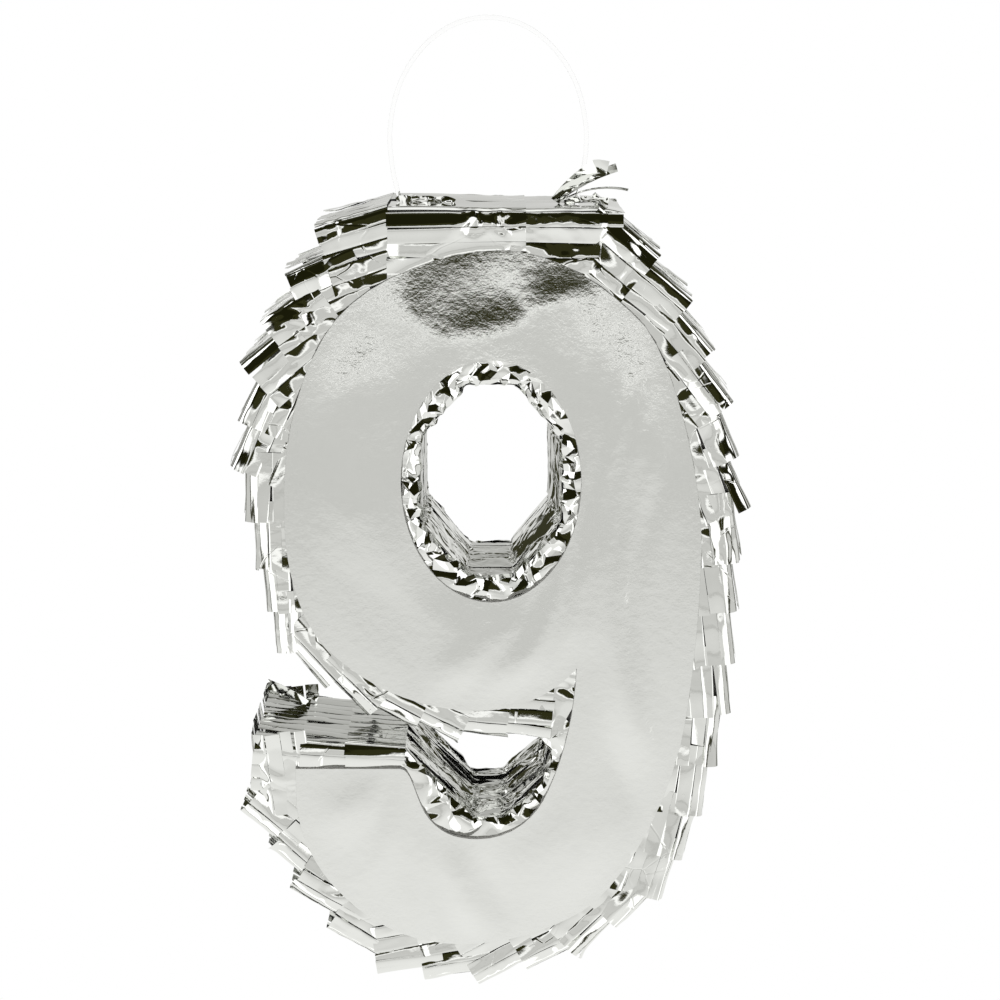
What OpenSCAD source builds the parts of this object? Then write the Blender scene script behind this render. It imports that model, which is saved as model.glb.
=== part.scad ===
// Hanging number-nine pinata: a scored card carcass with a foil face card on each side,
// rows of cut foil fringe round its edges, a stiff cord loop and a filling flap at the back.
// +X is to the right of the front face, +Z is up, and the front faces -Y.
// The origin is the inside of the cord loop at its highest point, where a hook carries it.

/* [Body] */
// Height of the card carcass, top wall to lowest point
number_height = 542; // [530:1:590]
// Depth of the carcass over its front and back panels
body_depth = 90; // [80:1:110]
// Thickness of the carcass card
card_t = 1.5; // [1:0.1:2]
// Thickness of the foil-faced card glued on the front and back
face_card_t = 0.8; // [0.5:0.1:1]

/* [Fringe] */
// How far the cut free end of a fringe row stands off the wall
row_lift = 8; // [6:0.5:9]
// How far the glued edge of a fringe row stands off the wall
row_root = 1.6; // [1:0.1:2]
// Width of the fringe that turns over the edge onto each panel
wrap_w = 22; // [18:1:24]
// Thickness of the fringe that turns over the edge
wrap_t = 2; // [1.5:0.1:2.5]
// How far the foil lining stands off the hole and counter walls
lining_lift = 3; // [2:0.5:4]

/* [Hanger] */
// Diameter of the loop's cord
cord_d = 3; // [2.5:0.1:3.5]
// Half the distance between the two cord holes
hole_x = 59; // [56:1:60]
// Diameter of each cord hole
cord_hole_d = 5.4; // [5:0.1:6]
// Diameter of the knot tied inside at each end of the cord
knot_d = 9; // [8:0.5:10]

/* [Filling flap] */
// Width of the opening that the flap closes
flap_w = 76; // [60:1:80]
// Height of the opening that the flap closes
flap_h = 46; // [36:1:48]

/* [Hidden] */

foil = [0.80, 0.81, 0.79];
board = [0.62, 0.60, 0.56];
gap = 0.05;                    // left between pieces that only rest on each other
bite = 0.6 * row_root;         // how far turned-over foil runs into the foil on the wall
half = body_depth / 2;
k = number_height / 542;       // the outline below is drawn 542 high
loop_rise = 121;               // from the top wall up to the inside of the loop
face_y = half + wrap_t;        // where the face card's back rests on the turned-over fringe
flap_top = -38;
flap_clear = 0.5;

function two_digits(i) = i < 10 ? str("0", i) : str(i);

// Score lines of the outer wall, clockwise from the top right corner. Here and in the lists
// below, x is across the face and y is up, with y = 0 at the top wall.
outline = k * [
    [76, 0], [120, -60], [150, -124], [164, -193], [163, -264], [161, -339], [146, -414],
    [121, -477], [67, -521], [-1, -542], [-71, -536], [-125, -476], [-159, -421],
    [-160, -373], [-62, -373],                                            // the tail's flat end
    [-12, -428], [11, -427], [41, -400], [46, -376], [34, -363],          // the counter
    [-28, -360], [-87, -338], [-141, -293], [-153, -234], [-162, -165],   // under the bowl, left
    [-148, -103], [-116, -51], [-68, 0]
];
n_out = len(outline);
cusp = k * [64, -308];         // where the face card's bowl meets its stem

// Score lines of the hole's wall. They run anticlockwise, so both lists have the card on
// their right and open air on their left.
hole_c = k * [2, -182.5];
hole = [for (p = [[17, 68], [-17, 68], [-49, 30], [-49, -28], [-17, -68], [17, -68], [49, -28],
                  [49, 30]]) hole_c + k * p];

// A point's neighbours on a closed outline give the unit normals of its two edges.
function next(i, pts) = (i + 1) % len(pts);
function prev(i, pts) = (i + len(pts) - 1) % len(pts);
function unit(v) = v / norm(v);
function normal(a, b) = let (d = unit(b - a)) [-d[1], d[0]];
function mitre(i, pts) =
    let (n1 = normal(pts[prev(i, pts)], pts[i]), n2 = normal(pts[i], pts[next(i, pts)]))
    (n1 + n2) / (1 + n1 * n2);
// The outline moved out into the air by t, each corner along its mitre.
function moved(pts, t) = [for (i = [0:len(pts) - 1]) pts[i] + t * mitre(i, pts)];
function lerp(a, b, t) = a + (b - a) * t;

// Closed smooth outline through cubic curves: each row is an anchor, then its two handles.
function bezier(a, b, c, d, t) =
    pow(1 - t, 3) * a + 3 * pow(1 - t, 2) * t * b + 3 * (1 - t) * t * t * c + pow(t, 3) * d;
function curve_points(rows, steps) = [
    for (i = [0:len(rows) - 1])
        let (a = rows[i], b = rows[(i + 1) % len(rows)])
        for (s = [0:steps - 1]) bezier(a[0], a[1], b[2], b[0], s / steps)
];

// Edge of the foil-faced card: anchor, handle leaving it, handle arriving at it.
face_rows = k * [
    [[8, -26], [44, -26], [-28, -26]],
    [[104, -76], [126, -105], [79, -49]],
    [[145, -226], [145, -270], [144, -180]],
    [[134, -370], [121, -430], [142, -325]],
    [[67, -496], [42, -512], [92, -478]],
    [[-20, -522], [-52, -522], [12, -522]],
    [[-103, -485], [-124, -464], [-82, -508]],
    [[-135, -414], [-135, -405], [-134, -436]],
    [[-135, -388], [-110, -388], [-135, -396]],
    [[-62, -388], [-54, -388], [-85, -388]],
    [[-45, -421], [-36, -436], [-53, -405]],
    [[-8, -441], [16, -441], [-24, -441]],
    [[42, -404], [54, -376], [34, -425]],
    [[61, -314], [45, -333], [60, -345]],
    [[-8, -345], [-36, -345], [22, -345]],
    [[-86, -321], [-106, -307], [-64, -336]],
    [[-127, -274], [-136, -250], [-118, -296]],
    [[-138, -197], [-138, -150], [-139, -226]],
    [[-100, -71], [-76, -43], [-124, -100]]
];
eye_c = k * [2, -182.5];
eye_r = k * [61, 84];
eye = [for (a = [0:6:354]) eye_c + [eye_r[0] * cos(a), eye_r[1] * sin(a)]];

// Stands a drawing of the face upright: its y becomes z, and it is y0 to y1 deep.
module upright(y0, y1) {
    translate([0, y1, -loop_rise]) rotate([90, 0, 0]) linear_extrude(y1 - y0) children();
}

// ---- Carcass ----

module panel_shape() {
    difference() {
        polygon(outline);
        polygon(hole);
    }
}

module flap_opening(grow) {
    translate([-flap_w / 2 - grow, flap_top - flap_h - grow])
        square([flap_w + 2 * grow, flap_h + 2 * grow]);
}

module front_panel() {
    color(board) upright(-half, -half + card_t) panel_shape();
}

module back_panel() {
    color(board) upright(half - card_t, half) difference() {
        panel_shape();
        flap_opening(0);
    }
}

// A scored strip of wall from one corner of the outline to another.
module wall(first, last) {
    inner = moved(outline, -card_t);
    points = concat([for (i = [first:last]) outline[i % n_out]],
                    [for (i = [last:-1:first]) inner[i % n_out]]);
    color(board) upright(-half + card_t + gap, half - card_t - gap) polygon(points);
}

module cord_holes(z0, z1) {
    for (side = [-1, 1])
        translate([side * hole_x, 0, z0 - loop_rise])
            cylinder(d = cord_hole_d, h = z1 - z0, $fn = 48);
}

module top_wall() {
    difference() {
        wall(n_out - 1, n_out);
        cord_holes(-card_t - 1, 1);
    }
}

module hole_wall() {
    color(board) upright(-half + card_t + gap, half - card_t - gap) difference() {
        polygon(moved(hole, -card_t));
        polygon(hole);
    }
}

// A second layer of card inside the top wall spreads the pull of the knots.
module hanger_plate() {
    edge = 5;                  // beyond each hole's centre
    plate = [2 * (hole_x + edge), 60, card_t];
    color(board) difference() {
        translate([-plate[0] / 2, -plate[1] / 2, -loop_rise - 2 * card_t - gap]) cube(plate);
        cord_holes(-3 * card_t, 0);
    }
}

// Paper tape folded into the corner where one wall strip meets the next.
joints = [0, 6, 12, 14, 19, 22];
tape_t = 0.4;
tape_reach = 10;
module joint_tape() {
    outer = moved(outline, -card_t - gap);
    inner = moved(outline, -card_t - gap - tape_t);
    for (i = joints) {
        before = unit(outline[prev(i, outline)] - outline[i]) * tape_reach;
        after = unit(outline[next(i, outline)] - outline[i]) * tape_reach;
        color("peru") upright(-half + 8, half - 8) polygon([
            outer[i] + before, outer[i], outer[i] + after,
            inner[i] + after, inner[i], inner[i] + before
        ]);
    }
}

// ---- Face cards ----

module face_shape() {
    difference() {
        polygon(curve_points(face_rows, 8));
        polygon(eye);
    }
}

module front_foil() {
    color(foil) upright(-face_y - gap - face_card_t, -face_y - gap) face_shape();
}

module back_foil() {
    color(foil) upright(face_y + gap, face_y + gap + face_card_t) difference() {
        face_shape();
        flap_opening(0);
    }
}

// ---- Filling flap: a card flap that swings out at the back, hinged along its top edge ----

module fill_flap() {
    pad_inset = 4;
    color(board) {
        upright(half - card_t, half) flap_opening(-flap_clear);
        upright(half, face_y) flap_opening(-flap_clear - pad_inset);
    }
}

module flap_foil() {
    color(foil) upright(face_y + gap, face_y + gap + face_card_t) flap_opening(-flap_clear);
}

// A folded foil tab to pull the flap open by.
module flap_tab() {
    tab_w = 20;
    glued = 14;
    free = 9;
    y0 = face_y + gap + face_card_t + gap;
    color(foil) upright(y0, y0 + 0.4)
        translate([-tab_w / 2, flap_top - flap_h - free]) square([tab_w, glued + free]);
}

// ---- Fringe ----

// The place on an outline where a row starts or ends: the point on the wall, the point 1 out
// from it, and the point where the foil that turns over onto a panel stops.
function corner(i, pts, inner) = [pts[i], pts[i] + mitre(i, pts), inner[i]];
function along(i, pts, inner, t) =
    let (j = next(i, pts))
    t == 0 ? corner(i, pts, inner) : t == 1 ? corner(j, pts, inner) :
    let (p = lerp(pts[i], pts[j], t)) [p, p + normal(pts[i], pts[j]), lerp(inner[i], inner[j], t)];
function out(place, t) = place[0] + (place[1] - place[0]) * t;

// Foil laid on the wall from place to place, turned over onto both panels. heights lists the
// foil's distance from the wall just before and just after each place.
module laid(places, heights) {
    last = len(places) - 1;
    in = unit(places[last][0] - places[0][0]) * gap;
    ends = [for (i = [0, last]) out(places[i], gap)];
    tops = [for (i = [last:-1:0], side = [1, 0])
        if ((i > 0 || side > 0) && (i < last || side < 1)) out(places[i], heights[i][side])];
    upright(-face_y, face_y) polygon(concat(ends, tops));
    for (side = [-1, 1])
        upright(side < 0 ? -face_y : half + gap, side < 0 ? -half - gap : face_y)
            polygon([out(places[0], bite) + in, out(places[last], bite) - in,
                     places[last][2] - in, places[0][2] + in]);
}

wrap_inner = [for (i = [0:n_out - 1]) i == 19 ? cusp : outline[i] - wrap_w * mitre(i, outline)];

// The rows between corner i and the next, with their free ends towards the next corner if
// dir is 1 and towards corner i if it is -1.
module fringe_edge(i, rows, dir) {
    places = [for (r = [0:rows]) along(i, outline, wrap_inner, r / rows)];
    step = dir > 0 ? [row_lift, row_root] : [row_root, row_lift];
    color(foil) laid(places, [for (p = places) step]);
}

// The top wall has a row laid each way from near its middle, notched round the cord.
top_meet = 22;
module fringe_top() {
    last = n_out - 1;
    t = (top_meet - outline[last][0]) / (outline[0][0] - outline[last][0]);
    places = [for (at = [0, t, 1]) along(last, outline, wrap_inner, at)];
    notch = [10, 30, 2 * row_lift];
    color(foil) difference() {
        laid(places, [[row_lift, row_lift], [row_root, row_root], [row_lift, row_lift]]);
        for (side = [-1, 1])
            translate([side * hole_x - notch[0] / 2, -notch[1] / 2, -loop_rise - row_lift])
                cube(notch + [0, 0, row_lift]);
    }
}

// The lining of a recess follows its corners: first and last are the ends of an open one.
module fringe_counter() {
    first = 14;
    last = 19;
    air = moved(outline, gap);
    lined = moved(outline, lining_lift);
    joined = moved(outline, bite);
    color(foil) {
        upright(-face_y, face_y)
            polygon(concat([for (i = [first:last]) air[i]], [for (i = [last:-1:first]) lined[i]]));
        for (y = [-face_y, half + gap])
            upright(y, y + wrap_t - gap)
                polygon(concat([for (i = [first:last]) joined[i]],
                               [for (i = [last:-1:first]) wrap_inner[i]]));
    }
}

module fringe_hole() {
    turned_w = 17;
    color(foil) {
        upright(-face_y, face_y) difference() {
            polygon(moved(hole, gap));
            polygon(moved(hole, lining_lift));
        }
        for (y = [-face_y, half + gap])
            upright(y, y + wrap_t - gap) difference() {
                polygon(moved(hole, -turned_w));
                polygon(moved(hole, bite));
            }
    }
}

// Loose ends of foil that stand up beside each cord hole: x, y, lean back, lean right, length.
left_tuft = [[-50, 8, 12, -20, 9], [-50, -8, -12, 22, 9], [-44, 8, 8, 30, 8], [-38, -8, 8, 34, 8]];
right_tuft = [[68, 18, -8, 35, 30], [68, 10, -4, 52, 34], [68, -18, 6, 66, 34]];
strip = [6, 0.5];              // width and thickness

// How high the row on the top wall stands at x.
function top_height(x) =
    let (end = x < top_meet ? outline[n_out - 1][0] : outline[0][0])
    lerp(row_root, row_lift, (x - top_meet) / (end - top_meet));

// Each strip rises from the surface of the row under it.
module tuft(strips) {
    color(foil) for (s = strips) {
        dip = strip[0] / 2 * sin(abs(s[3])) + strip[1] / 2 * sin(abs(s[2]));
        under = max(top_height(s[0] - strip[0] / 2), top_height(s[0] + strip[0] / 2));
        translate([s[0], s[1], -loop_rise + under + dip + gap]) rotate([s[2], s[3], 0])
            translate([-strip[0] / 2, -strip[1] / 2, 0]) cube([strip[0], strip[1], s[4]]);
    }
}

// ---- Hanging loop ----

// Centreline of the cord, left hole to right hole, in x and z above the top wall.
loop_route = [
    [-59, 0], [-62, 12], [-65, 28], [-66, 45], [-64, 62], [-59, 79], [-50, 95], [-37, 109],
    [-20, 119], [0, 122.5], [20, 119], [37, 109], [50, 95], [59, 79], [64, 62], [66, 45],
    [65, 28], [62, 12], [59, 0]
];
ring_steps = 3;                // rings between two points of the route
sides = 8;

function spline(a, b, c, d, t) =
    0.5 * (2 * b + (c - a) * t + (2 * a - 5 * b + 4 * c - d) * t * t
           + (3 * b - a - 3 * c + d) * t * t * t);
// The route through every point, its two ends carried straight on for the spline.
function smooth(r, steps) =
    let (n = len(r), far = concat([2 * r[0] - r[1]], r, [2 * r[n - 1] - r[n - 2]]))
    concat([for (i = [0:n - 2], s = [0:steps - 1])
               spline(far[i], far[i + 1], far[i + 2], far[i + 3], s / steps)],
           [r[n - 1]]);

module hanger_loop() {
    line = smooth([for (p = loop_route) [p[0] * hole_x / 59, p[1]]], ring_steps);
    n = len(line);
    across = function(i) i == 0 || i == n - 1 ? [sign(i - 1), 0]
        : normal(line[i - 1], line[i + 1]);
    rings = [for (i = [0:n - 1], s = [0:sides - 1])
        let (a = 360 * s / sides, c = line[i] + across(i) * cos(a) * cord_d / 2)
        [c[0], sin(a) * cord_d / 2, c[1] - loop_rise]];
    tube = [for (i = [0:n - 2], s = [0:sides - 1])
        let (s2 = (s + 1) % sides)
        [i * sides + s, i * sides + s2, (i + 1) * sides + s2, (i + 1) * sides + s]];
    ends = [[for (s = [sides - 1:-1:0]) s], [for (s = [0:sides - 1]) (n - 1) * sides + s]];
    color("white") polyhedron(points = rings, faces = concat(tube, ends), convexity = 4);
}

// A knot in each end of the cord, drawn up under the hanger plate, with its short tail.
module hanger_knots() {
    stub_top = -2.2;
    knot_z = -2 * card_t - 2 * gap - knot_d / 2;
    color("white") for (side = [-1, 1])
        translate([side * hole_x, 0, -loop_rise]) {
            translate([0, 0, knot_z]) cylinder(d = cord_d, h = stub_top - knot_z, $fn = 32);
            translate([0, 0, knot_z]) sphere(d = knot_d, $fn = 48);
            translate([0, 0, knot_z - 11]) cylinder(d = cord_d, h = 11, $fn = 32);
        }
}

// ---- Nodes ----

front_panel();
back_panel();
top_wall();
wall(0, 6);  // right_wall
wall(6, 12);  // bottom_wall
wall(12, 14);  // tail_wall
wall(14, 19);  // counter_wall
wall(19, 22);  // bowl_under_wall
wall(22, 27);  // left_wall
hole_wall();
joint_tape();
hanger_plate();
hanger_knots();
hanger_loop();
front_foil();
back_foil();
fill_flap();
flap_foil();
flap_tab();
fringe_top();
fringe_edge(12, 1, 1);  // fringe_tail_end
fringe_edge(13, 3, -1);  // fringe_tail_top
fringe_counter();
fringe_hole();
tuft(left_tuft);  // hanger_tuft_left
tuft(right_tuft);  // hanger_tuft_right
for (i = [1:12])
    fringe_edge(i - 1, 2, 1);
for (i = [1:8])
    fringe_edge(27 - i, 2, -1);
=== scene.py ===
"""Silver number-nine pinata: the film, foil, card and cord that show, built round the CAD frame."""
import bmesh
import bpy
import math
import numpy as np
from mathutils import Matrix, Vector, geometry


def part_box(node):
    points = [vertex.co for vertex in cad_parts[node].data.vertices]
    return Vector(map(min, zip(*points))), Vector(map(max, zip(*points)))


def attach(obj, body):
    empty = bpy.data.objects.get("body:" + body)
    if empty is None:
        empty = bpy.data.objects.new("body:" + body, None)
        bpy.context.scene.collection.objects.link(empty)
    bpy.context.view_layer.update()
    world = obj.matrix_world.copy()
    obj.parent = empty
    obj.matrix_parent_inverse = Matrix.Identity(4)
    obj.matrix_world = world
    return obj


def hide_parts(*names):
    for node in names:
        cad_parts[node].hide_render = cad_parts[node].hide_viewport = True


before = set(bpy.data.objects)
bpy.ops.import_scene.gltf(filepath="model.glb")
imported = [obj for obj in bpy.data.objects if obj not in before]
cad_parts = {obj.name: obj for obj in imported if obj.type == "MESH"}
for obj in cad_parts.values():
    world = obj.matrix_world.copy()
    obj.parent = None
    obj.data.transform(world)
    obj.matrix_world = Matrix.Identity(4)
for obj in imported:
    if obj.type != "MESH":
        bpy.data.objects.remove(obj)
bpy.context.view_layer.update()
MM = 0.001
X, Y, Z = np.eye(3)


def unit(v):
    """v at length 1, along its last axis."""
    v = np.asarray(v, float)
    return v / np.maximum(np.linalg.norm(v, axis=-1, keepdims=True), 1e-12)


def smooth(x, low=0.0, high=1.0):
    """0 below low, 1 above high, and a smooth rise between them."""
    t = np.clip((np.asarray(x, float) - low) / (high - low), 0, 1)
    return t * t * (3 - 2 * t)


# ---- Camera, light and floor ----


def make_camera():
    """Level with the loop, 1.3 m in front of the pinata and looking a little down at it."""
    data = bpy.data.cameras.new("camera")
    data.lens = 70.2
    data.sensor_width = 36
    camera = bpy.data.objects.new("camera", data)
    bpy.context.scene.collection.objects.link(camera)
    camera.location = (0.008, -1.329, 0.003)
    camera.rotation_euler = (math.radians(76.03), 0, 0)
    bpy.context.scene.camera = camera


class Nodes:
    """Short calls for building a node tree."""

    def __init__(self, tree):
        self.tree = tree
        tree.nodes.clear()

    def add(self, kind, inputs=(), **settings):
        """A node of that kind, with settings on the node and inputs by name or number."""
        node = self.tree.nodes.new(kind)
        for key, value in settings.items():
            setattr(node, key, value)
        for key, value in dict(inputs).items():
            if isinstance(value, bpy.types.NodeSocket):
                self.tree.links.new(value, node.inputs[key])
            else:
                node.inputs[key].default_value = value
        return node

    def math(self, operation, a, b=0.0, c=0.0):
        return self.add("ShaderNodeMath", {0: a, 1: b, 2: c}, operation=operation).outputs[0]

    def ramp(self, value, stops, interpolation="LINEAR"):
        """A colour ramp: stops are (place, grey or colour)."""
        node = self.add("ShaderNodeValToRGB", {0: value})
        node.color_ramp.interpolation = interpolation
        elements = node.color_ramp.elements
        while len(elements) < len(stops):
            elements.new(0.5)
        for element, (place, colour) in zip(elements, stops):
            element.position = place
            rgb = (colour,) * 3 if isinstance(colour, (int, float)) else colour
            element.color = (*rgb, 1)
        return node.outputs[0]

    def map_range(self, value, low, high, to_low=0.0, to_high=1.0, **settings):
        inputs = {0: value, 1: low, 2: high, 3: to_low, 4: to_high}
        return self.add("ShaderNodeMapRange", inputs, **settings).outputs[0]

    def mix(self, factor, a, b):
        inputs = {0: factor, 6: a, 7: b}
        return self.add("ShaderNodeMix", inputs, data_type="RGBA").outputs[2]

    def noise(self, place, scale, detail=2.0, roughness=0.5, distortion=0.0):
        inputs = {
            "Vector": place, "Scale": scale, "Detail": detail, "Roughness": roughness,
            "Distortion": distortion,
        }
        return self.add("ShaderNodeTexNoise", inputs).outputs["Fac"]


def studio_panel(n, azimuth, elevation, low, high, soft):
    """1 inside a box of the sky, 0 outside. low and high are (azimuth, elevation) in degrees."""
    mask = 1.0
    for angle, a, b in ((azimuth, low[0], high[0]), (elevation, low[1], high[1])):
        for start, end in ((a - soft, a + soft), (b + soft, b - soft)):
            edge = n.map_range(angle, start, end, interpolation_type="SMOOTHSTEP")
            mask = n.math("MULTIPLY", edge, mask)
    return mask


# The studio's brightness at each elevation in degrees, from the floor up to the ceiling.
SKY = [
    (-90, 0.95), (-36, 0.93), (-26, 0.86), (-19, 0.76), (-15.5, 0.72), (-14, 0.54), (-12.5, 0.67),
    (-6.5, 0.61), (-4.2, 0.82), (-1, 0.84), (6, 0.6), (20, 0.52), (35, 0.36), (55, 0.5), (75, 1.1),
]

# Softboxes and dark flags in front of that: brightness, lowest and highest (azimuth, elevation),
# and how soft the edge is. Azimuth 0 is towards the camera, and it grows towards +X.
PANELS = [
    (0.012, (-78, 0.2), (78, 66), 2.2),         # the dark wall that the camera stands in front of
    (1.12, (-14, -6.8), (14, -3.6), 1.0),       # the lit edge of the table under it
    (0.03, (-14, -3.8), (14, 8), 1.2),          # the camera itself
    (1.9, (-66, 5), (-30, 48), 1.5),            # softboxes to the left, to the right and above
    (1.7, (27, 9), (58, 52), 1.5),
    (1.5, (-22, 44), (24, 58), 2.0),
    (1.35, (17, -60), (29, 0), 1.0),            # white cards at floor level, with dark edges
    (0.05, (30, -60), (33, 2), 0.7),
    (1.35, (-31, -60), (-18, 0), 1.0),
    (0.05, (-35, -60), (-32, 2), 0.7),
    (0.03, (-112, -30), (-96, 60), 1.5),        # dark flags at the sides
    (0.03, (97, -22), (113, 40), 1.5),
    (0.04, (140, -30), (155, 28), 1.0),         # dark flags and softboxes behind the pinata
    (0.04, (-156, -30), (-141, 28), 1.0),
    (1.3, (140, 30), (160, 60), 3.0),
    (1.3, (-160, 26), (-138, 58), 3.0),
    (0.04, (-178, 35), (178, 52), 2.5),         # a dark band all round under the ceiling
]
FLOOR_Z = -1.25             # well under the hanging pinata


def studio_tone(brightness):
    """A tone of the studio, with a little less blue, which shows most in the darkest ones."""
    return (brightness, brightness, max(brightness - 0.02, 0.3 * brightness))


def make_studio():
    """White surroundings, seen straight or through the clear cord, and a studio in reflections."""
    world = bpy.data.worlds.new("studio")
    bpy.context.scene.world = world
    world.use_nodes = True
    n = Nodes(world.node_tree)
    direction = n.add("ShaderNodeTexCoord").outputs["Generated"]
    xyz = n.add("ShaderNodeSeparateXYZ", {0: direction}).outputs
    degrees = 180 / math.pi
    azimuth = n.math("MULTIPLY", n.math("ARCTAN2", xyz[0], n.math("MULTIPLY", xyz[1], -1)), degrees)
    elevation = n.math("MULTIPLY", n.math("ARCSINE", xyz[2]), degrees)
    height = n.math("MULTIPLY_ADD", elevation, 1 / 180, 0.5)
    colour = n.ramp(height, [((e + 90) / 180, studio_tone(brightness)) for e, brightness in SKY])
    for brightness, low, high, soft in PANELS:
        mask = studio_panel(n, azimuth, elevation, low, high, soft)
        colour = n.mix(mask, colour, (*studio_tone(brightness), 1))
    light_path = n.add("ShaderNodeLightPath").outputs
    seen = n.math("MAXIMUM", light_path["Is Camera Ray"], light_path["Is Transmission Ray"])
    background = n.add("ShaderNodeBackground", {0: n.mix(seen, colour, (1, 1, 1, 1))})
    n.add("ShaderNodeOutputWorld", {0: background.outputs[0]})


def make_floor():
    """A plain white floor. The film reflects the studio, not this."""
    bpy.ops.mesh.primitive_circle_add(
        vertices=64, radius=6, fill_type="NGON", location=(0, 0, FLOOR_Z)
    )
    floor = bpy.context.object
    floor.name = "floor"
    material = bpy.data.materials.new("floor")
    material.use_nodes = True
    n = Nodes(material.node_tree)
    shader = n.add("ShaderNodeEmission", {"Color": (1, 1, 1, 1), "Strength": 1.0})
    n.add("ShaderNodeOutputMaterial", {0: shader.outputs[0]})
    floor.data.materials.append(material)
    floor.visible_glossy = False
    floor.visible_diffuse = False


# ---- Materials ----


def new_material(name):
    """A material, its node tree, and the place on the object that its textures read."""
    material = bpy.data.materials.new(name)
    material.use_nodes = True
    n = Nodes(material.node_tree)
    return material, n, n.add("ShaderNodeTexCoord").outputs["Object"]


def bump(n, height, strength, distance, below=None):
    inputs = {"Height": height, "Strength": strength, "Distance": distance}
    if below is not None:
        inputs["Normal"] = below
    return n.add("ShaderNodeBump", inputs).outputs["Normal"]


def surface(n, inputs):
    shader = n.add("ShaderNodeBsdfPrincipled", inputs)
    n.add("ShaderNodeOutputMaterial", {0: shader.outputs[0]})


def film_material(name, tone, wave_depth):
    """Crisp mirror film: slack waves, pull marks, hairline creases, and patches scuffed dull."""
    material, n, place = new_material(name)
    waves = n.noise(place, 38, 1)
    marks = n.noise(place, 420, 3, 0.6)
    scuffs = n.noise(place, 130, 4, 0.7)
    drift = n.add(
        "ShaderNodeTexNoise", {"Vector": place, "Scale": 34.0, "Detail": 1.0}
    ).outputs["Color"]
    bent = n.add(
        "ShaderNodeVectorMath", {0: drift, 1: (0.02,) * 3, 2: place}, operation="MULTIPLY_ADD"
    ).outputs[0]
    to_crease = n.add(
        "ShaderNodeTexVoronoi", {"Vector": bent, "Scale": 27.0}, feature="DISTANCE_TO_EDGE"
    ).outputs["Distance"]
    pressed_flat = n.ramp(n.noise(place, 26, 1), [(0.38, 0.0), (0.5, 1.0)])
    crease = n.math("MAXIMUM", n.ramp(to_crease, [(0.0, 0.0), (0.026, 1.0)], "EASE"), pressed_flat)
    slack = bump(n, waves, 1.0, wave_depth)
    normal = bump(n, crease, 0.6, 0.00011, bump(n, marks, 0.10, 0.0002, slack))
    roughness = n.map_range(scuffs, 0.35, 0.8, 0.02, 0.075)
    shade = n.mix(n.noise(place, 30, 2), tuple(0.93 * c for c in tone) + (1,), tone + (1,))
    surface(n, {"Base Color": shade, "Metallic": 1.0, "Roughness": roughness, "Normal": normal})
    return material


def face_material(name):
    """Foil laminated on card: a satin mirror with the card's fine grain showing through it."""
    material, n, place = new_material(name)
    stretched = n.add("ShaderNodeMapping", {"Vector": place, "Scale": (0.9, 1.0, 1.15)}).outputs[0]
    grain = n.noise(stretched, 800, 3, 0.6, 0.2)
    peel = n.noise(place, 170, 3, 0.55)
    cloud = n.noise(place, 16, 4, 0.6)
    normal = bump(n, grain, 0.32, 0.00012, bump(n, peel, 0.4, 0.0003))
    roughness = n.map_range(cloud, 0.3, 0.75, 0.07, 0.11)
    shade = n.mix(cloud, (0.855, 0.862, 0.842, 1), (0.884, 0.891, 0.872, 1))
    surface(n, {"Base Color": shade, "Metallic": 1.0, "Roughness": roughness, "Normal": normal})
    return material


def card_material(name, low, high, grain_depth):
    """Grey board: short fibres, a faint flute pattern and a soft uneven tone."""
    material, n, place = new_material(name)
    fibres = n.noise(place, 900, 4, 0.7, 1.5)
    tone = n.noise(place, 40, 4, 0.65)
    flutes = n.add(
        "ShaderNodeTexWave", {"Vector": place, "Scale": 62.0, "Distortion": 0.6, "Detail": 1.0},
        bands_direction="Z",
    ).outputs["Fac"]
    speckle = n.math("MULTIPLY_ADD", fibres, 0.5, n.math("MULTIPLY", tone, 0.6))
    normal = bump(n, fibres, 0.35, grain_depth, bump(n, flutes, 0.15, 0.0003))
    shade = n.ramp(speckle, [(0.3, low), (0.75, high)])
    surface(n, {
        "Base Color": shade, "Roughness": 0.88, "Normal": normal, "Specular IOR Level": 0.25,
    })
    return material


def cord_material(name):
    """Clear plastic cord, very slightly milky, with fine marks."""
    material, n, place = new_material(name)
    marks = n.noise(place, 700, 2, 0.5)
    normal = bump(n, marks, 0.05, 0.0001)
    milk = n.mix(n.noise(place, 60, 2), (0.985, 0.985, 0.98, 1), (0.999, 0.999, 0.996, 1))
    roughness = n.map_range(marks, 0.0, 1.0, 0.02, 0.07)
    surface(n, {
        "Base Color": milk, "Roughness": roughness, "Normal": normal, "IOR": 1.24,
        "Transmission Weight": 1.0,
    })
    return material


# ---- Meshes ----


def make_object(name, points, faces, material, body, replaces=(), crease=45):
    """A smooth-shaded mesh that rides on body and stands for the CAD nodes in replaces."""
    mesh = bpy.data.meshes.new(name)
    mesh.from_pydata(np.asarray(points).tolist(), [], [list(map(int, f)) for f in faces])
    mesh.validate()
    mesh.shade_smooth()
    mesh.set_sharp_from_angle(angle=math.radians(crease))
    piece = bpy.data.objects.new(name, mesh)
    bpy.context.scene.collection.objects.link(piece)
    mesh.materials.append(material)
    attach(piece, body)
    if replaces:
        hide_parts(*replaces)


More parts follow.
